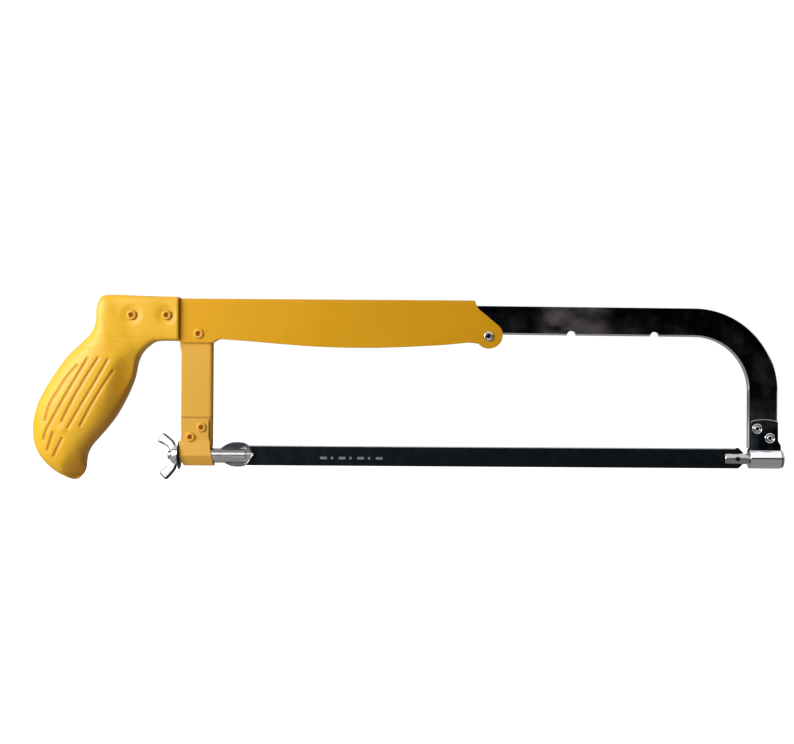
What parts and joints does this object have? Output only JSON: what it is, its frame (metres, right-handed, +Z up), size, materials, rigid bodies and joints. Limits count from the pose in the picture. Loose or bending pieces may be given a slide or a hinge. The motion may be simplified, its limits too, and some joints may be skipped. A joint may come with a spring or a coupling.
{
  "type": "hacksaw",
  "caption": "Adjustable hacksaw with a moulded pistol grip, folded sheet back, sliding notched front bar, tension rod with wing nut, and a pinned blade.",
  "frame": {"origin": "middle of the base of the bounding box, under the blade line", "axes": "+X along the blade from the handle to the toe, +Y across the saw to the blade's face side, +Z up from the blade to the back"},
  "size_m": [0.4506, 0.0288, 0.1111],
  "materials": {
    "yellow_moulding": "satin moulded yellow plastic",
    "yellow_paint": "fine textured yellow paint on sheet steel",
    "painted_rivet": "yellow paint over steel rivets",
    "dark_plate": "polished plating that reads near black, with bright rounded edges",
    "bright_plate": "bright plating",
    "zinc_plate": "zinc plated steel",
    "dark_steel": "blackened steel",
    "blade_steel": "blue-black hardened blade steel"
  },
  "bodies": {
    "rear_frame": {"handle": "yellow_moulding", "back_channel": "yellow_paint", "rear_leg": "yellow_paint", "rear_bracket": "yellow_paint", "handle_rivet_rear": "painted_rivet", "handle_rivet_front": "painted_rivet", "leg_rivet": "painted_rivet", "rear_bracket_rivet_upper": "painted_rivet", "rear_bracket_rivet_lower": "painted_rivet", "stop_pin": "bright_plate", "washer": "dark_steel"},
    "front_frame": {"front_bar": "dark_plate", "front_bracket": "dark_plate", "front_bracket_rivet_upper": "bright_plate", "front_bracket_rivet_lower": "bright_plate", "front_stud": "zinc_plate", "front_blade_peg": "dark_steel"},
    "tension_rod": {"tension_rod": "zinc_plate", "rear_blade_peg": "dark_steel"},
    "wing_nut": {"wing_nut": "bright_plate"},
    "blade": {"blade": "blade_steel"}
  },
  "joints": [
    {"name": "blade_lift_off", "type": "slide", "parent": "rear_frame", "child": "blade", "axis": [0, 1, 0], "range_m": [0, 0.2]},
    {"name": "front_frame_slide", "type": "slide", "parent": "rear_frame", "child": "front_frame", "axis": [-1, 0, 0.0052], "range_m": [0, 0.1]},
    {"name": "tension_rod_slide", "type": "slide", "parent": "rear_frame", "child": "tension_rod", "axis": [1, 0, 0], "range_m": [0, 0.0012]},
    {"name": "wing_nut_turn", "type": "hinge", "parent": "rear_frame", "child": "wing_nut", "pos_m": [-0.1425, 0, 0.0149], "axis": [1, 0, 0], "range_deg": [-432.1, 0]}
  ],
  "couplings": [
    {"joint": "front_frame_slide", "follows": "blade_lift_off", "ratio": 0.5},
    {"joint": "wing_nut_turn", "follows": "tension_rod_slide", "rad_per_m": -6283.2}
  ]
}
